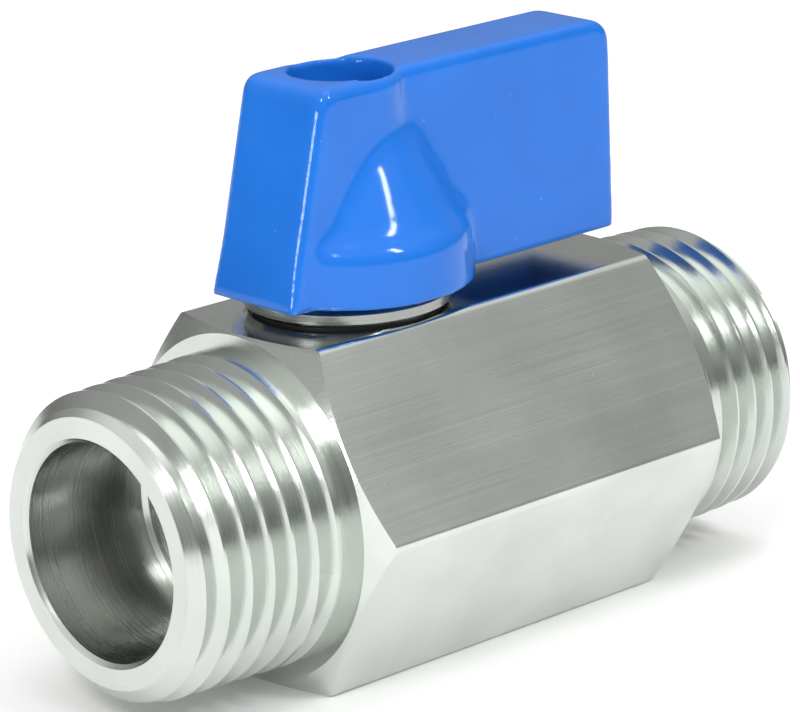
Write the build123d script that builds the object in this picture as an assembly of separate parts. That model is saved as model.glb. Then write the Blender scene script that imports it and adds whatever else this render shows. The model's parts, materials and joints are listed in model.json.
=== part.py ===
"""Miniature quarter-turn ball valve, half inch taper thread at both ends.

Millimetres. X runs along the flow from inlet to outlet and Z runs up the stem. The origin is the
middle of the bottom flat of the hexagon, under the middle of the valve's length. The valve is open.
"""

from build123d import *
import math
import os

# Body bar and the places along it
hex_across_flats = 23.8
hex_edge_radius = 0.6
hex_face_radius = 11.75
hex_chamfer_angle = 30.0
overall_length = 55.8
inlet_port_length = 12.45
outlet_port_length = 11.05
stem_from_inlet = 22.25
cutter_overrun = 1.0

# Taper pipe thread, 14 turns to the inch
thread_pitch = 25.4 / 14
thread_small_radius = 20.715 / 2
thread_taper = 1 / 32
thread_depth = 1.3
thread_root_half_width = 0.07
thread_flank_angle = 30.0
thread_end_radius = 9.05
thread_collar = 1.0
inlet_thread_lead_in = 0.94
outlet_thread_lead_in = 0.74
thread_overcut = 0.35
thread_runout_turns = 0.55

# Bores
port_radius = 7.35
port_depth = 9.75
mouth_chamfer = 0.3
chamber_radius = 7.05
flow_radius = 4.25
seat_flow_radius = 4.4
far_cone_length = 2.0

# Ball and seats
ball_radius = 6.75
ball_edge_break = 0.25
seat_gap = 0.03
ball_bore_flare = 3.0
seat_near = 3.2
seat_far = 6.6
seat_outer_radius = 7.0
slot_width = 3.0
slot_floor = 5.15

# Seat retainer, a ring screwed in from the inlet
retainer_outer_radius = 7.0
retainer_front_depth = 10.2
retainer_end_gap = 0.05
retainer_lead_in = 1.2
retainer_edge = 0.3
retainer_slot_width = 2.6
retainer_slot_depth = 1.4
retainer_groove_from_end = 1.4
o_ring_section_radius = 0.5
o_ring_groove_width = 1.4
retainer_groove_radius = 6.03
retainer_o_ring_radius = 6.535

# Stem, heights above the flow axis
tang_thickness = 2.9
tang_width = 6.0
tang_foot = 5.2
collar_foot = 7.2
collar_top = 8.6
collar_radius = 4.3
stem_radius = 3.0
stem_round_top = 15.5
stem_square = 4.6
stem_top = 18.3
stem_o_ring_heights = (10.35, 12.35)
stem_groove_radius = 2.0
stem_o_ring_radius = 2.52
stem_thread_radius = 1.5
stem_thread_depth = 5.0

# Gland and its seals, heights above the flow axis
gland_hole_radius = 4.75
gland_shank_radius = 4.73
gland_bore_radius = 3.05
gland_foot = 9.4
thrust_washer_thickness = 0.7
thrust_washer_top = 9.38
thrust_washer_radius = 4.6
gasket_thickness = 0.2
gasket_inner_radius = 4.85
gasket_radius = 6.35
gland_flange_radius = 7.0
gland_flange_top = 13.3
gland_edge = 0.3
stop_inner_radius = 3.7
stop_outer_radius = 6.1
stop_top = 15.2
turn_angle = 90.0
stop_clearance_angle = 1.0

# Handle, heights above the flow axis and distances from the stem
handle_foot = 13.5
handle_top = 27.9
nose_foot = 8.5
nose_top = 5.1
nose_half_width = 4.15
nose_edge_radius = 0.9
tail_foot = 21.2
tail_top = 22.2
half_width_foot = 4.2
half_width_top = 3.05
nose_corner_radius = 1.3
tail_corner_radius = 1.6
boss_offset = 0.5
boss_foot_radius = 8.2
boss_skirt_top = 17.7
boss_skirt_top_radius = 7.95
skirt_edge_radius = 0.7
boss_cone_offset = 0.7
boss_cone_foot = 17.3
boss_cone_foot_radius = 7.5
boss_cone_top = 25.0
boss_cone_top_radius = 3.5
handle_edge_radius = 0.5
pocket_radius = 6.7
pocket_top = 15.6
hub_top = 18.6
square_clearance = 0.05
screw_hole_radius = 3.45
cavity_wall = 1.3
cavity_from_stem = 9.4
cavity_top_wall = 1.9
stop_rib_angle = 50.0
stop_rib_foot = 13.65
stop_rib_overlap = 0.2

# Handle screw and washers
screw_radius = 1.47
screw_head_radius = 2.85
screw_head_height = 2.1
screw_head_edge = 0.9
screw_length = 5.6
drive_width = 0.75
drive_length = 3.2
drive_depth = 1.2
flat_washer = (1.6, 3.3, 0.5)
spring_washer = (1.6, 2.75, 0.75)
spring_washer_gap = 0.5

flow_z = hex_across_flats / 2
inlet_x = -overall_length / 2
outlet_x = overall_length / 2
hex_start = inlet_x + inlet_port_length
hex_end = outlet_x - outlet_port_length
stem_x = inlet_x + stem_from_inlet
flow_axis = Axis((0, 0, flow_z), (1, 0, 0))
stem_axis = Axis((stem_x, 0, 0), (0, 0, 1))


def outline(points):
    """A closed flat face in the XZ plane through the points."""
    return make_face(Plane.XZ * Polyline(*points, close=True))


def turned_on_flow(points):
    """A ring turned about the flow axis, from (x, radius) points."""
    return revolve(outline([(x, flow_z + radius) for x, radius in points]), flow_axis)


def turned_on_stem(points):
    """A ring turned about the stem, from (radius, height above the flow axis) points."""
    return revolve(outline([(stem_x + radius, flow_z + height) for radius, height in points]), stem_axis)


def stem_cylinder(radius, foot, top):
    return turned_on_stem([(0, foot), (radius, foot), (radius, top), (0, top)])


def stem_block(size_x, size_y, foot, top):
    """A block centred on the stem."""
    centre = Pos(stem_x, 0, flow_z + (foot + top) / 2)
    return centre * Box(size_x, size_y, top - foot)


def stem_sector(inner, outer, foot, top, middle_angle, spread):
    """Part of a ring about the stem, spread degrees wide."""
    ring = stem_cylinder(outer, foot, top) - stem_cylinder(inner, foot - cutter_overrun, top + cutter_overrun)
    reach = 4 * outer
    first = math.radians(middle_angle - spread / 2)
    steps = max(2, math.ceil(spread / 60))
    rays = [first + math.radians(spread) * step / steps for step in range(steps + 1)]
    corners = [(0, 0)] + [(reach * math.cos(ray), reach * math.sin(ray)) for ray in rays]
    wedge = extrude(make_face(Polyline(*corners, close=True)), top - foot, dir=(0, 0, 1))
    return ring & (Pos(stem_x, 0, flow_z + foot) * wedge)


def groove_profile(path):
    """The thread's V, flat at the root, at the start of a helix about the X axis."""
    start = path @ 0
    outward = Vector(0, start.Y, start.Z).normalized()
    rise = thread_depth + thread_overcut
    half_top = thread_root_half_width + rise * math.tan(math.radians(thread_flank_angle))
    corners = [
        (0, -thread_root_half_width),
        (rise, -half_top),
        (rise, half_top),
        (0, thread_root_half_width),
    ]
    return Plane(origin=start, x_dir=outward, z_dir=path % 0) * make_face(Polyline(*corners, close=True))


def thread_groove(length, lead_in):
    """The cutter's path for a right-hand taper thread, as two overlapping solids: it starts lead_in
    before x = 0 and rises out of the metal at the collar."""
    start = -lead_in
    runout = thread_runout_turns * thread_pitch
    stop = length - thread_collar - runout
    root = thread_small_radius - thread_depth
    main = Helix(
        thread_pitch,
        stop - start,
        root + thread_taper * start,
        center=(start, 0, 0),
        direction=(1, 0, 0),
        cone_angle=math.degrees(math.atan(thread_taper)),
    )
    lift_angle = math.atan((thread_depth + thread_overcut) / runout)
    lift = Helix(
        thread_pitch / math.cos(lift_angle),
        runout,
        root + thread_taper * stop,
        center=(stop, 0, 0),
        direction=(1, 0, 0),
        cone_angle=math.degrees(lift_angle),
    )
    turn = Rot(X=360 * (stop - start) / thread_pitch)
    main_cut = sweep(groove_profile(main), path=main, is_frenet=True)
    lift_cut = sweep(groove_profile(lift), path=lift, is_frenet=True)
    return [main_cut, turn * lift_cut]


def threaded_port(length, lead_in):
    """One threaded end about the X axis: its face is at x = 0 and it joins the hexagon at x = length."""
    thread_end = length - thread_collar
    collar = thread_small_radius + thread_taper * thread_end
    chamfer = (thread_small_radius - thread_end_radius) / (1 - thread_taper)
    points = [
        (0, 0),
        (0, thread_end_radius),
        (chamfer, thread_end_radius + chamfer),
        (thread_end, collar),
        (length + cutter_overrun, collar),
        (length + cutter_overrun, 0),
    ]
    port = revolve(make_face(Plane.XY * Polyline(*points, close=True)), Axis.X)
    for cut in thread_groove(length, lead_in):
        port = port - cut
    return port


def hexagon_bar():
    """The hexagon, its long edges eased and its ends turned to a chamfer."""
    section = Plane.YZ * RegularPolygon(hex_across_flats / 2, 6, major_radius=False)
    bar = Pos(hex_start, 0, flow_z) * extrude(section, hex_end - hex_start, dir=(1, 0, 0))
    bar = fillet(bar.edges().filter_by(Axis.X), hex_edge_radius)
    outer = hex_across_flats
    slope = (outer - hex_face_radius) * math.tan(math.radians(hex_chamfer_angle))
    envelope = turned_on_flow(
        [
            (hex_start, 0),
            (hex_start, hex_face_radius),
            (hex_start + slope, outer),
            (hex_end - slope, outer),
            (hex_end, hex_face_radius),
            (hex_end, 0),
        ]
    )
    return bar & envelope


def valve_body():
    inlet = Pos(inlet_x, 0, flow_z) * threaded_port(inlet_port_length, inlet_thread_lead_in)
    outlet = Pos(outlet_x, 0, flow_z) * Rot(Z=180) * threaded_port(outlet_port_length, outlet_thread_lead_in)
    body = hexagon_bar() + inlet + outlet
    port_end = inlet_x + port_depth
    seat_stop = stem_x + seat_far + seat_gap
    far_port_start = outlet_x - port_depth
    mouth_radius = port_radius + mouth_chamfer + cutter_overrun
    body -= turned_on_flow(
        [
            (inlet_x - cutter_overrun, 0),
            (inlet_x - cutter_overrun, mouth_radius),
            (inlet_x + mouth_chamfer, port_radius),
            (port_end, port_radius),
            (port_end + port_radius - chamber_radius, chamber_radius),
            (seat_stop, chamber_radius),
            (seat_stop, flow_radius),
            (far_port_start - far_cone_length, flow_radius),
            (far_port_start, port_radius),
            (outlet_x - mouth_chamfer, port_radius),
            (outlet_x + cutter_overrun, mouth_radius),
            (outlet_x + cutter_overrun, 0),
        ]
    )
    return body - stem_cylinder(gland_hole_radius, 0, flow_z + cutter_overrun)


def ball():
    sphere = Pos(stem_x, 0, flow_z) * Sphere(ball_radius)
    half_bore = math.sqrt(ball_radius**2 - (flow_radius + ball_edge_break) ** 2)
    flare_radius = flow_radius + ball_edge_break + ball_bore_flare
    sphere -= turned_on_flow(
        [
            (stem_x - half_bore - ball_bore_flare, 0),
            (stem_x - half_bore - ball_bore_flare, flare_radius),
            (stem_x - half_bore + ball_edge_break, flow_radius),
            (stem_x + half_bore - ball_edge_break, flow_radius),
            (stem_x + half_bore + ball_bore_flare, flare_radius),
            (stem_x + half_bore + ball_bore_flare, 0),
        ]
    )
    return sphere - stem_block(slot_width, 4 * ball_radius, slot_floor, 2 * ball_radius)


def inlet_seat():
    """A PTFE ring whose hollow face fits the ball."""
    ring = turned_on_flow(
        [
            (stem_x - seat_near, seat_flow_radius),
            (stem_x - seat_near, seat_outer_radius),
            (stem_x - seat_far, seat_outer_radius),
            (stem_x - seat_far, seat_flow_radius),
        ]
    )
    return ring - Pos(stem_x, 0, flow_z) * Sphere(ball_radius + seat_gap)


def outlet_seat():
    """The same ring on the ball's other side."""
    return Pos(stem_x, 0, 0) * Rot(Z=180) * Pos(-stem_x, 0, 0) * inlet_seat()


def retainer_ends():
    return inlet_x + retainer_front_depth, stem_x - seat_far - retainer_end_gap


def seat_retainer():
    """The ring that holds the seats and ball in, with a groove for its O-ring and two key slots."""
    front, back = retainer_ends()
    groove_middle = back - retainer_groove_from_end
    ring = turned_on_flow(
        [
            (front, seat_flow_radius + retainer_lead_in),
            (front, retainer_outer_radius - retainer_edge),
            (front + retainer_edge, retainer_outer_radius),
            (groove_middle - o_ring_groove_width / 2, retainer_outer_radius),
            (groove_middle - o_ring_groove_width / 2, retainer_groove_radius),
            (groove_middle + o_ring_groove_width / 2, retainer_groove_radius),
            (groove_middle + o_ring_groove_width / 2, retainer_outer_radius),
            (back, retainer_outer_radius),
            (back, seat_flow_radius),
            (front + retainer_lead_in, seat_flow_radius),
        ]
    )
    slot = Box(2 * retainer_slot_depth, 4 * retainer_outer_radius, retainer_slot_width)
    return ring - Pos(front, 0, flow_z) * slot


def retainer_o_ring():
    middle = retainer_ends()[1] - retainer_groove_from_end
    section = Pos(middle, 0, flow_z + retainer_o_ring_radius) * (Plane.XZ * Circle(o_ring_section_radius))
    return revolve(section, flow_axis)


def stem():
    """Tang, collar, round shaft with two O-ring grooves, square and a tapped hole."""
    points = [
        (0, collar_foot),
        (collar_radius, collar_foot),
        (collar_radius, collar_top),
        (stem_radius, collar_top),
    ]
    for height in stem_o_ring_heights:
        points += [
            (stem_radius, height - o_ring_groove_width / 2),
            (stem_groove_radius, height - o_ring_groove_width / 2),
            (stem_groove_radius, height + o_ring_groove_width / 2),
            (stem_radius, height + o_ring_groove_width / 2),
        ]
    points += [(stem_radius, stem_round_top), (0, stem_round_top)]
    shaft = turned_on_stem(points)
    square = stem_block(stem_square, stem_square, stem_round_top, stem_top)
    tang = stem_block(tang_thickness, tang_width, tang_foot, collar_foot)
    tang_round = stem_cylinder(tang_width / 2, tang_foot, collar_foot)
    hole = stem_cylinder(stem_thread_radius, stem_top - stem_thread_depth, stem_top + cutter_overrun)
    square_round = stem_cylinder(stem_radius, stem_round_top, stem_top)
    return shaft + (square & square_round) + (tang & tang_round) - hole


def stem_o_ring(height):
    section = Plane.XZ * Circle(o_ring_section_radius)
    return revolve(Pos(stem_x + stem_o_ring_radius, 0, flow_z + height) * section, stem_axis)


def washer(inner, outer, foot, thickness):
    top = foot + thickness
    return turned_on_stem([(inner, foot), (outer, foot), (outer, top), (inner, top)])


def gland():
    """The bush screwed into the body over the stem, with the stop that limits the handle."""
    flange_foot = flow_z + gasket_thickness
    bush = turned_on_stem(
        [
            (gland_bore_radius, gland_foot),
            (gland_shank_radius, gland_foot),
            (gland_shank_radius, flange_foot),
            (gland_flange_radius - gland_edge, flange_foot),
            (gland_flange_radius, flange_foot + gland_edge),
            (gland_flange_radius, gland_flange_top - gland_edge),
            (gland_flange_radius - gland_edge, gland_flange_top),
            (gland_bore_radius, gland_flange_top),
        ]
    )
    free_angle = turn_angle + stop_rib_angle + 2 * stop_clearance_angle
    middle = -turn_angle / 2
    stop = stem_sector(
        stop_inner_radius,
        stop_outer_radius,
        gland_flange_top - gland_edge,
        stop_top,
        middle,
        360 - free_angle,
    )
    return bush + stop


def side_outline():
    """The handle seen from the side, with its two upper corners rounded."""
    points = [
        (stem_x - nose_foot, flow_z + handle_foot),
        (stem_x - nose_top, flow_z + handle_top),
        (stem_x + tail_top, flow_z + handle_top),
        (stem_x + tail_foot, flow_z + handle_foot),
    ]
    face = outline(points)
    upper = face.vertices().group_by(Axis.Z)[-1].sort_by(Axis.X)
    face = fillet(upper[0], nose_corner_radius)
    upper = face.vertices().group_by(Axis.Z)[-1].sort_by(Axis.X)
    return fillet(upper[-1], tail_corner_radius)


def cross_section(width_foot, width_top, foot, top):
    """A drafted cross-section in the YZ plane."""
    points = [
        (-width_foot, flow_z + foot),
        (-width_top, flow_z + top),
        (width_top, flow_z + top),
        (width_foot, flow_z + foot),
    ]
    return make_face(Plane.YZ * Polyline(*points, close=True))


def paddle_half_width(height):
    share = (height - handle_foot) / (handle_top - handle_foot)
    return half_width_foot + share * (half_width_top - half_width_foot)


def paddle():
    """The drafted paddle with its edges eased."""
    section = cross_section(half_width_foot, half_width_top, handle_foot, handle_top)
    bar_start = stem_x - 2 * nose_foot
    bar = Pos(bar_start, 0, 0) * extrude(section, stem_x + 2 * tail_top - bar_start, dir=(1, 0, 0))
    solid = bar & extrude(side_outline(), 2 * boss_foot_radius, both=True)
    return fillet(side_edges(solid), handle_edge_radius)


def side_edges(solid):
    """The edges round the two side faces, apart from those at the foot."""
    above_foot = flow_z + handle_foot + handle_edge_radius / 2
    edges = [edge for edge in solid.edges() if abs(edge.center().Y) > half_width_top / 2]
    return [edge for edge in edges if edge.center().Z > above_foot]


def nose_block():
    """The upright nose and the round neck behind it, which the screw hole goes down."""
    height = handle_top - handle_foot
    reach = 2 * nose_foot
    plan = Pos(-reach / 2, 0) * Rectangle(reach, 2 * nose_half_width) + Circle(nose_half_width)
    column = Pos(stem_x, 0, flow_z + handle_foot) * extrude(plan, height, dir=(0, 0, 1))
    block = column & extrude(side_outline(), reach, both=True)
    return fillet(side_edges(block), nose_edge_radius)


def boss():
    """The skirt over the gland and the cone on it, cut off at the nose."""
    skirt = turned_on_stem(
        [
            (0, handle_foot),
            (boss_foot_radius, handle_foot),
            (boss_skirt_top_radius, boss_skirt_top),
            (0, boss_skirt_top),
        ]
    )
    skirt = fillet(skirt.edges().filter_by(GeomType.CIRCLE).group_by(Axis.Z)[-1], skirt_edge_radius)
    cone_height = boss_cone_top - boss_cone_foot
    cone_place = Pos(stem_x + boss_cone_offset, 0, flow_z + (boss_cone_foot + boss_cone_top) / 2)
    cone = cone_place * Rot(Z=90) * Cone(boss_cone_foot_radius, boss_cone_top_radius, cone_height)
    reach = 3 * boss_foot_radius
    lean = (nose_foot - nose_top) / (handle_top - handle_foot)
    beyond_nose = outline(
        [
            (stem_x - nose_foot - lean, flow_z + handle_foot - 1),
            (stem_x - nose_top + lean, flow_z + handle_top + 1),
            (stem_x - reach, flow_z + handle_top + 1),
            (stem_x - reach, flow_z + handle_foot - 1),
        ]
    )
    return Pos(boss_offset, 0, 0) * skirt + cone - extrude(beyond_nose, reach, both=True)


def handle():
    shell = paddle() + nose_block() + boss()
    shell -= stem_cylinder(pocket_radius, handle_foot - cutter_overrun, pocket_top)
    shell -= stem_cylinder(screw_hole_radius, hub_top, handle_top + cutter_overrun)
    socket = stem_square + 2 * square_clearance
    shell -= stem_block(socket, socket, pocket_top - cutter_overrun, hub_top + cutter_overrun)
    cavity_foot = handle_foot - cutter_overrun
    cavity_top = handle_top - cavity_top_wall
    cavity = cross_section(
        paddle_half_width(cavity_foot) - cavity_wall,
        paddle_half_width(cavity_top) - cavity_wall,
        cavity_foot,
        cavity_top,
    )
    cavity_length = tail_foot - cavity_wall - cavity_from_stem
    shell -= Pos(stem_x + cavity_from_stem, 0, 0) * extrude(cavity, cavity_length, dir=(1, 0, 0))
    rib = stem_sector(
        stop_inner_radius,
        pocket_radius + stop_rib_overlap,
        stop_rib_foot,
        pocket_top + stop_rib_overlap,
        180,
        stop_rib_angle,
    )
    return shell + rib


def handle_screw():
    """A pan head screw with a cross recess."""
    foot = hub_top + flat_washer[2] + spring_washer[2]
    head = stem_cylinder(screw_head_radius, foot, foot + screw_head_height)
    head = fillet(head.edges().group_by(Axis.Z)[-1], screw_head_edge)
    shank = stem_cylinder(screw_radius, foot - screw_length, foot)
    top = foot + screw_head_height
    recess = stem_block(drive_width, drive_length, top - drive_depth, top + cutter_overrun)
    recess += stem_block(drive_length, drive_width, top - drive_depth, top + cutter_overrun)
    return head + shank - recess


def split_washer():
    inner, outer, thickness = spring_washer
    foot = hub_top + flat_washer[2]
    ring = washer(inner, outer, foot, thickness)
    cut_top = foot + thickness + cutter_overrun
    cut = stem_block(2 * outer, spring_washer_gap, foot - cutter_overrun, cut_top)
    return ring - Pos(outer + inner / 2, 0, 0) * cut


parts = {
    "valve_body": valve_body(),
    "seat_retainer": seat_retainer(),
    "retainer_o_ring": retainer_o_ring(),
    "inlet_seat": inlet_seat(),
    "outlet_seat": outlet_seat(),
    "ball": ball(),
    "stem": stem(),
    "thrust_washer": washer(
        gland_bore_radius,
        thrust_washer_radius,
        thrust_washer_top - thrust_washer_thickness,
        thrust_washer_thickness,
    ),
    "lower_stem_o_ring": stem_o_ring(stem_o_ring_heights[0]),
    "upper_stem_o_ring": stem_o_ring(stem_o_ring_heights[1]),
    "gland_gasket": washer(gasket_inner_radius, gasket_radius, flow_z, gasket_thickness),
    "gland": gland(),
    "handle": handle(),
    "flat_washer": washer(flat_washer[0], flat_washer[1], hub_top, flat_washer[2]),
    "spring_washer": split_washer(),
    "handle_screw": handle_screw(),
}

os.makedirs("parts", exist_ok=True)
for name, shape in parts.items():
    export_step(shape, f"parts/{name}.step")
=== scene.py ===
"""Looks for the mini ball valve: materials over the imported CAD, a floor, studio light and the camera."""

import json
import math

import bmesh
import bpy
import numpy as np
from mathutils import Matrix, Vector


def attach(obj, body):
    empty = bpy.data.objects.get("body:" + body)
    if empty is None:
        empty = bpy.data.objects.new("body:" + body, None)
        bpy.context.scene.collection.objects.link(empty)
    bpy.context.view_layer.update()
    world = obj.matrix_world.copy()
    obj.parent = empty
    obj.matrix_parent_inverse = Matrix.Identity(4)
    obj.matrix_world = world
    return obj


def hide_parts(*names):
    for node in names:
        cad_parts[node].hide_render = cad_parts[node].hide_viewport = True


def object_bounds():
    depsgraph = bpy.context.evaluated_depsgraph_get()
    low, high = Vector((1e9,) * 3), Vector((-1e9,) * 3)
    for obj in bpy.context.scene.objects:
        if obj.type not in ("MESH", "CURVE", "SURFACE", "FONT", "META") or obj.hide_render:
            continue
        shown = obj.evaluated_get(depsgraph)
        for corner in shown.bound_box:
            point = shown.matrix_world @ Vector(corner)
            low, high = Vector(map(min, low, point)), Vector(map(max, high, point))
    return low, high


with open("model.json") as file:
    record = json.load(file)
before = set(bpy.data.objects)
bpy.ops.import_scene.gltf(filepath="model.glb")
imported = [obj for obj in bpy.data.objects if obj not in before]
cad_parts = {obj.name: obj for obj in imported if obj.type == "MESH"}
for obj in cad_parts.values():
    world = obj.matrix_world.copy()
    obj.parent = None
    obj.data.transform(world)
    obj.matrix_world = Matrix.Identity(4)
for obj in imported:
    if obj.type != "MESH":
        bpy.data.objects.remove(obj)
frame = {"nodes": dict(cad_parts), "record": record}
cad_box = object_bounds()

MM = 0.001
STEM_X, _, FLOW_Z = frame["record"]["behaviour"]["joints"][0]["pos_m"]
HALF_LENGTH = cad_box[1][0]
HEX_START = -15.45 * MM
HEX_END = 16.85 * MM
OUTSIDE_RADIUS = 11.0 * MM
BORE_RADIUS = 7.5 * MM
TOP_FLAT = 11.7 * MM
EDGE_MARGIN = 0.02 * MM
FINE = 0.02 * MM


# Node helpers


class Nodes:
    """Short calls for building a material's node tree."""

    def __init__(self, name):
        self.material = bpy.data.materials.new(name)
        self.material.use_nodes = True
        self.tree = self.material.node_tree
        self.tree.nodes.clear()
        self.output = self.tree.nodes.new("ShaderNodeOutputMaterial")
        self.shader = self.tree.nodes.new("ShaderNodeBsdfPrincipled")
        self.tree.links.new(self.shader.outputs[0], self.output.inputs["Surface"])
        self.coordinates = self.tree.nodes.new("ShaderNodeTexCoord").outputs["Object"]

    def link(self, value, socket):
        if isinstance(value, bpy.types.NodeSocket):
            self.tree.links.new(value, socket)
        else:
            socket.default_value = value

    def set(self, **values):
        names = {
            "colour": "Base Color",
            "metallic": "Metallic",
            "roughness": "Roughness",
            "ior": "IOR",
            "subsurface": "Subsurface Weight",
            "subsurface_scale": "Subsurface Scale",
            "normal": "Normal",
        }
        for name, value in values.items():
            self.link(value, self.shader.inputs[names[name]])

    def math(self, operation, a, b=0.0):
        node = self.tree.nodes.new("ShaderNodeMath")
        node.operation = operation
        for value, socket in zip((a, b), node.inputs):
            self.link(value, socket)
        return node.outputs[0]

    def distance(self, a, b):
        """The length of a flat vector."""
        return self.math("SQRT", self.math("ADD", self.math("MULTIPLY", a, a), self.math("MULTIPLY", b, b)))

    def split(self):
        node = self.tree.nodes.new("ShaderNodeSeparateXYZ")
        self.link(self.coordinates, node.inputs[0])
        return node.outputs

    def stretched(self, x, y, z):
        node = self.tree.nodes.new("ShaderNodeMapping")
        self.link(self.coordinates, node.inputs["Vector"])
        node.inputs["Scale"].default_value = (x, y, z)
        return node.outputs[0]

    def vector(self, x, y, z):
        node = self.tree.nodes.new("ShaderNodeCombineXYZ")
        for value, socket in zip((x, y, z), node.inputs):
            self.link(value, socket)
        return node.outputs[0]

    def noise(self, scale, detail=3.0, roughness=0.55, vector=None):
        node = self.tree.nodes.new("ShaderNodeTexNoise")
        self.link(vector or self.coordinates, node.inputs["Vector"])
        node.inputs["Scale"].default_value = scale
        node.inputs["Detail"].default_value = detail
        node.inputs["Roughness"].default_value = roughness
        return node.outputs["Fac"]

    def ramp(self, value, *stops):
        node = self.tree.nodes.new("ShaderNodeValToRGB")
        self.link(value, node.inputs[0])
        elements = node.color_ramp.elements
        while len(elements) < len(stops):
            elements.new(0.5)
        for element, (place, colour) in zip(elements, stops):
            element.position = place
            if isinstance(colour, (int, float)):
                colour = (colour, colour, colour)
            element.color = (*colour, 1.0)
        return node.outputs[0]

    def spread(self, noise, low, high):
        """The middle of a noise's range stretched to run from low to high."""
        node = self.tree.nodes.new("ShaderNodeMapRange")
        for item, socket in zip((noise, 0.3, 0.7, low, high), node.inputs):
            self.link(item, socket)
        return node.outputs[0]

    def mix(self, factor, a, b):
        node = self.tree.nodes.new("ShaderNodeMix")
        node.data_type = "RGBA"
        self.link(factor, node.inputs[0])
        for value, socket in zip((a, b), (node.inputs[6], node.inputs[7])):
            if isinstance(value, tuple):
                value = (*value, 1.0)
            self.link(value, socket)
        return node.outputs[2]

    def blend(self, factor, a, b):
        node = self.tree.nodes.new("ShaderNodeMix")
        node.data_type = "FLOAT"
        self.link(factor, node.inputs[0])
        self.link(a, node.inputs[2])
        self.link(b, node.inputs[3])
        return node.outputs[0]

    def bump(self, height, strength, distance, under=None):
        node = self.tree.nodes.new("ShaderNodeBump")
        node.inputs["Strength"].default_value = strength
        node.inputs["Distance"].default_value = distance
        self.link(height, node.inputs["Height"])
        if under is not None:
            self.link(under, node.inputs["Normal"])
        return node.outputs[0]


def plated_brass():
    """Nickel over brass: brushed along the hexagon's flats, turned on the ends, bores and threads."""
    n = Nodes("plated_brass")
    x, y, z = n.split()
    height = n.math("SUBTRACT", z, FLOW_Z)
    radius = n.distance(y, height)
    past_start = n.math("GREATER_THAN", x, HEX_START - EDGE_MARGIN)
    on_bar = n.math("MULTIPLY", past_start, n.math("LESS_THAN", x, HEX_END + EDGE_MARGIN))
    outside = n.math("GREATER_THAN", radius, OUTSIDE_RADIUS)
    on_flats = n.math("MULTIPLY", on_bar, outside)
    in_bore = n.math("LESS_THAN", radius, BORE_RADIUS)

    brushed = n.noise(1.0, 4.0, 0.6, n.stretched(45, 9000, 9000))
    broad = n.noise(120.0, 3.0, 0.5)
    lathe_lines = n.vector(n.math("MULTIPLY", x, 9000), n.math("MULTIPLY", radius, 9000), 0.0)
    grain = n.blend(on_flats, n.noise(1.0, 3.0, 0.6, lathe_lines), brushed)
    on_end = n.math("GREATER_THAN", n.math("ABSOLUTE", x), HALF_LENGTH - EDGE_MARGIN)

    nicks = n.ramp(n.noise(1500.0, 1.0), (0.76, 0.0), (0.79, 1.0))

    base = n.mix(n.ramp(broad, (0.3, 0.0), (0.7, 1.0)), (0.57, 0.605, 0.57), (0.68, 0.715, 0.675))
    base = n.mix(n.math("MULTIPLY", in_bore, 0.6), base, (0.58, 0.59, 0.57))
    on_top = n.math("MULTIPLY", on_flats, n.math("GREATER_THAN", height, TOP_FLAT))
    rough_flats = n.blend(on_top, n.spread(grain, 0.18, 0.28), n.spread(grain, 0.1, 0.18))
    rough_turned = n.spread(grain, 0.15, 0.25)
    rough_turned = n.blend(in_bore, rough_turned, n.spread(grain, 0.2, 0.3))
    rough_turned = n.blend(on_end, rough_turned, n.spread(grain, 0.26, 0.36))
    roughness = n.blend(on_flats, rough_turned, rough_flats)
    normal = n.bump(grain, 0.22, FINE)
    normal = n.bump(nicks, 0.2, 0.00003, normal)
    n.set(colour=base, metallic=1.0, roughness=roughness, normal=normal)
    return n.material


def stem_metal_painted_shade():
    """Turned metal for the pieces about the stem, its colour darkened as painted shade from the handle
    above.
    """
    n = Nodes("stem_metal_painted_shade")
    x, y, z = n.split()
    across = n.math("SUBTRACT", x, STEM_X)
    radius = n.distance(y, across)
    lathe_lines = n.vector(n.math("MULTIPLY", radius, 6000), n.math("MULTIPLY", z, 6000), 0.0)
    rings = n.noise(1.0, 3.0, 0.6, lathe_lines)
    # Dark grey base colour: painted shade under the handle, darker than the bright metal itself.
    base = n.mix(n.noise(300.0), (0.27, 0.28, 0.27), (0.38, 0.39, 0.37))
    n.set(colour=base, metallic=1.0, roughness=n.spread(rings, 0.14, 0.3), normal=n.bump(rings, 0.25, FINE))
    return n.material


def blue_enamel():
    """Glossy blue paint over a casting: slight orange peel, a few pinholes and dust."""
    n = Nodes("blue_enamel")
    cloud = n.noise(120.0, 3.0, 0.5)
    peel = n.noise(700.0, 2.0, 0.5)
    fine = n.noise(3200.0, 2.0, 0.5)
    base = n.mix(n.ramp(cloud, (0.3, 0.0), (0.7, 1.0)), (0.01, 0.145, 0.60), (0.014, 0.17, 0.68))
    specks = n.ramp(n.noise(2600.0, 1.0), (0.79, 0.0), (0.81, 1.0))
    base = n.mix(n.math("MULTIPLY", specks, 0.5), base, (0.35, 0.5, 0.85))
    normal = n.bump(peel, 0.08, 0.00006)
    normal = n.bump(fine, 0.06, FINE, normal)
    roughness = n.spread(cloud, 0.07, 0.12)
    n.set(colour=base, roughness=roughness, ior=1.42, normal=normal)
    return n.material


def chrome():
    n = Nodes("polished_chrome")
    smear = n.noise(400.0, 3.0)
    n.set(
        colour=n.mix(smear, (0.78, 0.79, 0.8), (0.88, 0.89, 0.9)),
        metallic=1.0,
        roughness=n.spread(smear, 0.03, 0.09),
        normal=n.bump(n.noise(2500.0), 0.03, 0.00001),
    )
    return n.material


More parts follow.
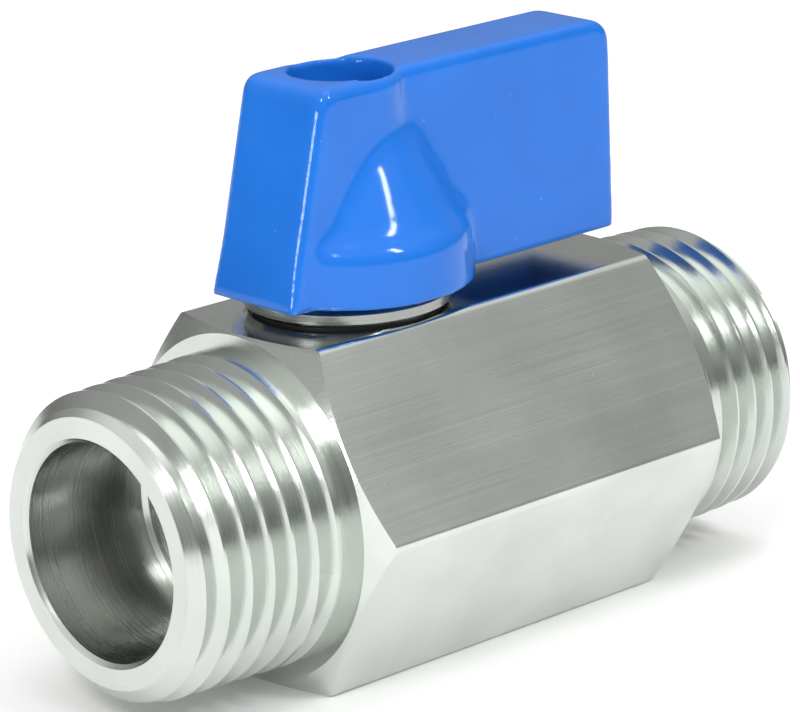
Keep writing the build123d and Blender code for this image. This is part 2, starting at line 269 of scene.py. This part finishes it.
def ptfe():
    n = Nodes("ptfe")
    cloud = n.noise(500.0, 3.0)
    n.set(
        colour=n.mix(cloud, (0.84, 0.84, 0.81), (0.93, 0.93, 0.91)),
        roughness=n.spread(cloud, 0.38, 0.5),
        subsurface=0.2,
        subsurface_scale=0.0006,
        normal=n.bump(n.noise(4000.0), 0.1, FINE),
    )
    return n.material


def seal_rubber():
    n = Nodes("seal_rubber")
    cloud = n.noise(900.0, 3.0)
    n.set(
        colour=n.mix(cloud, (0.012, 0.012, 0.013), (0.03, 0.03, 0.032)),
        roughness=n.spread(cloud, 0.42, 0.6),
        normal=n.bump(n.noise(5000.0), 0.15, FINE),
    )
    return n.material


def zinc_steel():
    n = Nodes("zinc_steel")
    cloud = n.noise(700.0, 4.0)
    n.set(
        colour=n.mix(cloud, (0.55, 0.57, 0.6), (0.74, 0.76, 0.78)),
        metallic=1.0,
        roughness=n.spread(cloud, 0.2, 0.38),
        normal=n.bump(n.noise(3500.0), 0.12, FINE),
    )
    return n.material


def floor_material():
    n = Nodes("floor_card")
    grain = n.noise(900.0, 3.0)
    card = n.mix(grain, (0.93, 0.93, 0.93), (0.95, 0.95, 0.95))
    n.set(colour=card, roughness=0.8, normal=n.bump(grain, 0.02, FINE))
    n.shader.inputs["Emission Color"].default_value = (1.0, 1.0, 1.0, 1.0)
    n.shader.inputs["Emission Strength"].default_value = 0.08
    return n.material


# Materials on the CAD nodes

brass = plated_brass()
turned = stem_metal_painted_shade()
white = ptfe()
black = seal_rubber()
zinc = zinc_steel()
finishes = {
    "valve_body": brass,
    "seat_retainer": brass,
    "retainer_o_ring": black,
    "inlet_seat": white,
    "outlet_seat": white,
    "ball": chrome(),
    "stem": turned,
    "thrust_washer": white,
    "lower_stem_o_ring": black,
    "upper_stem_o_ring": black,
    "gland": turned,
    # The gasket is a real seal; its black also stands as painted shadow in the gap under the gland's
    # flange.
    "gland_gasket": black,
    "handle": blue_enamel(),
    "flat_washer": zinc,
    "spring_washer": zinc,
    "handle_screw": zinc,
}
for node, material in finishes.items():
    mesh = frame["nodes"][node].data
    mesh.materials.clear()
    mesh.materials.append(material)


# The handle, cast and painted: the CAD handle with its edges and creases softened. Its sizes are in
# millimetres from the stem and above the flow axis.

FOOT = 13.5
TOP = 27.9
SIDE_HALF_WIDTHS = (4.2, 3.05)
NOSE_HALF_WIDTH = 4.15
NOSE_PLACES = (-8.5, -5.1)
SKIRT_OFFSET = 0.5
SKIRT_RADIUS = 8.1
SKIRT_TOP = 17.7
CONE_OFFSET = 0.7
CONE_HEIGHTS = (17.3, 25.0)
CONE_RADII = (7.5, 3.5)
VOXEL = 0.2
BLEND_REACH = 1.5
INNER_HALF_WIDTH = 2.0
ROUNDS_ALL_OVER = 8
ROUNDS_ON_CREASES = 40
KEPT_SHARE = 0.45


def smoothed(points, edges, weight, rounds):
    """Moves each point towards the mean of its neighbours, by its weight, so many times."""
    degree = np.zeros(len(points))
    np.add.at(degree, edges.ravel(), 1.0)
    for _ in range(rounds):
        total = np.zeros_like(points)
        for axis in range(3):
            column = np.bincount(edges[:, 0], points[edges[:, 1], axis], len(points))
            column += np.bincount(edges[:, 1], points[edges[:, 0], axis], len(points))
            total[:, axis] = column
        points = points + weight[:, None] * 0.5 * (total / degree[:, None] - points)
    return points


def applied(obj):
    """The object's mesh with its modifiers applied, and the modifiers taken off it."""
    mesh = bpy.data.meshes.new_from_object(obj.evaluated_get(bpy.context.evaluated_depsgraph_get()))
    obj.modifiers.clear()
    return mesh


def crease_weight(points):
    """One along the creases between the boss, nose and paddle, falling to nothing away from them."""
    x = points[:, 0] - STEM_X / MM
    y = np.abs(points[:, 1])
    z = points[:, 2] - FLOW_Z / MM
    off_cone = np.abs(np.hypot(x - CONE_OFFSET, y) - np.interp(z, CONE_HEIGHTS, CONE_RADII))
    off_nose = np.abs(np.hypot(np.maximum(x, 0), y) - NOSE_HALF_WIDTH)
    off_skirt = np.abs(np.hypot(x - SKIRT_OFFSET, y) - SKIRT_RADIUS)
    off_side = np.abs(y - np.interp(z, (FOOT, TOP), SIDE_HALF_WIDTHS))
    off_step = np.abs(z - SKIRT_TOP)
    creases = (
        (off_cone, off_side),
        (off_cone, off_nose),
        (off_cone, off_step),
        (off_nose, off_side),
        (off_skirt, off_side),
        (off_skirt, off_nose),
    )
    nearest = np.minimum.reduce([np.hypot(a, b) for a, b in creases])
    clear_of_ends = np.clip(z - FOOT - 0.5, 0, 1) * np.clip(TOP - 1.0 - z, 0, 1)
    clear_of_nose = np.clip(x - np.interp(z, (FOOT, TOP), NOSE_PLACES) - 1.0, 0, 1)
    return np.clip(BLEND_REACH - nearest, 0, 1) * clear_of_ends * clear_of_nose * (y > INNER_HALF_WIDTH)


def cast_handle():
    source = frame["nodes"]["handle"]
    mesh = source.data.copy()
    mesh.transform(Matrix.Scale(1 / MM, 4))
    obj = bpy.data.objects.new("handle_cast", mesh)
    bpy.context.collection.objects.link(obj)
    remesh = obj.modifiers.new("remesh", "REMESH")
    remesh.mode = "VOXEL"
    remesh.voxel_size = VOXEL
    remeshed = applied(obj)

    points = np.empty(len(remeshed.vertices) * 3)
    remeshed.vertices.foreach_get("co", points)
    points = points.reshape(-1, 3)
    edges = np.empty(len(remeshed.edges) * 2, dtype=int)
    remeshed.edges.foreach_get("vertices", edges)
    edges = edges.reshape(-1, 2)

    points = smoothed(points, edges, np.ones(len(points)), ROUNDS_ALL_OVER)
    points = smoothed(points, edges, crease_weight(points), ROUNDS_ON_CREASES)
    remeshed.vertices.foreach_set("co", (points * MM).ravel())
    obj.data = remeshed

    thin = obj.modifiers.new("thin", "DECIMATE")
    thin.ratio = KEPT_SHARE
    light_mesh = applied(obj)
    obj.data = light_mesh
    light_mesh.shade_smooth()
    light_mesh.materials.clear()
    light_mesh.materials.append(finishes["handle"])
    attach(obj, "lever")
    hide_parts("handle")


cast_handle()


# Camera


def looking(azimuth, elevation, roll=0.0):
    """A rotation that looks at the valve from that side, and the direction back to the viewer."""
    a, e, r = (math.radians(angle) for angle in (azimuth, elevation, roll))
    back = Vector((math.sin(a) * math.cos(e), -math.cos(a) * math.cos(e), math.sin(e)))
    right = Vector((math.cos(a), math.sin(a), 0.0))
    up = back.cross(right)
    turned_right = right * math.cos(r) + up * math.sin(r)
    turned_up = up * math.cos(r) - right * math.sin(r)
    return Matrix((turned_right, turned_up, back)).transposed(), back


rotation, back = looking(-42.27, 16.99, -1.836)
target = Vector((-1.13, 0.0, 19.03)) * MM
camera_distance = 0.2872
camera_data = bpy.data.cameras.new("camera")
camera_data.sensor_width = 36.0
camera_data.lens = 191.4
camera_data.clip_start = 0.01
camera_data.clip_end = 20.0
camera = bpy.data.objects.new("camera", camera_data)
camera.matrix_world = Matrix.Translation(target + back * camera_distance) @ rotation.to_4x4()
bpy.context.collection.objects.link(camera)
bpy.context.scene.camera = camera


# Floor

floor_mesh = bpy.data.meshes.new("floor")
shape = bmesh.new()
bmesh.ops.create_grid(shape, x_segments=8, y_segments=8, size=3.0)
shape.to_mesh(floor_mesh)
shape.free()
floor = bpy.data.objects.new("floor", floor_mesh)
floor.location.z = -0.00002
floor_mesh.materials.append(floor_material())
bpy.context.collection.objects.link(floor)


# Light


def panel(name, azimuth, elevation, distance, width, height, power):
    """A rectangular softbox aimed at the valve."""
    turn, towards = looking(azimuth, elevation)
    data = bpy.data.lights.new(name, "AREA")
    data.shape = "RECTANGLE"
    data.size = width
    data.size_y = height
    data.energy = power
    light = bpy.data.objects.new(name, data)
    aim = Vector((0.0, 0.0, 0.02))
    light.matrix_world = Matrix.Translation(aim + towards * distance) @ turn.to_4x4()
    bpy.context.collection.objects.link(light)


panel("strip_right", 9.0, 44.0, 0.6, 0.06, 0.2, 1.1)
panel("strip_left", -62.0, 43.0, 0.6, 0.08, 0.14, 0.9)
panel("streak", -86.0, 9.0, 0.6, 0.2, 0.05, 0.5)
panel("wall", 26.0, 25.0, 0.6, 0.3, 0.26, 0.05)
panel("overhead", 60.0, 82.0, 0.8, 0.5, 0.5, 1.0)

bpy.context.scene.view_settings.view_transform = "Standard"
world = bpy.data.worlds.new("studio")
bpy.context.scene.world = world
world.use_nodes = True
sky = world.node_tree
sky.nodes.clear()
direction = sky.nodes.new("ShaderNodeTexCoord")
upward = sky.nodes.new("ShaderNodeSeparateXYZ")
shade = sky.nodes.new("ShaderNodeValToRGB")
background = sky.nodes.new("ShaderNodeBackground")
out = sky.nodes.new("ShaderNodeOutputWorld")
sky.links.new(direction.outputs["Generated"], upward.inputs[0])
sky.links.new(upward.outputs["Z"], shade.inputs[0])
sky.links.new(shade.outputs[0], background.inputs["Color"])
sky.links.new(background.outputs[0], out.inputs["Surface"])
stops = [(0.0, 0.16), (0.08, 0.2), (0.2, 0.32), (0.46, 0.42), (0.7, 0.9), (1.0, 1.0)]
while len(shade.color_ramp.elements) < len(stops):
    shade.color_ramp.elements.new(0.5)
for element, (place, level) in zip(shade.color_ramp.elements, stops):
    element.position = place
    element.color = (level, level, level * 0.99, 1.0)
background.inputs["Strength"].default_value = 1.0
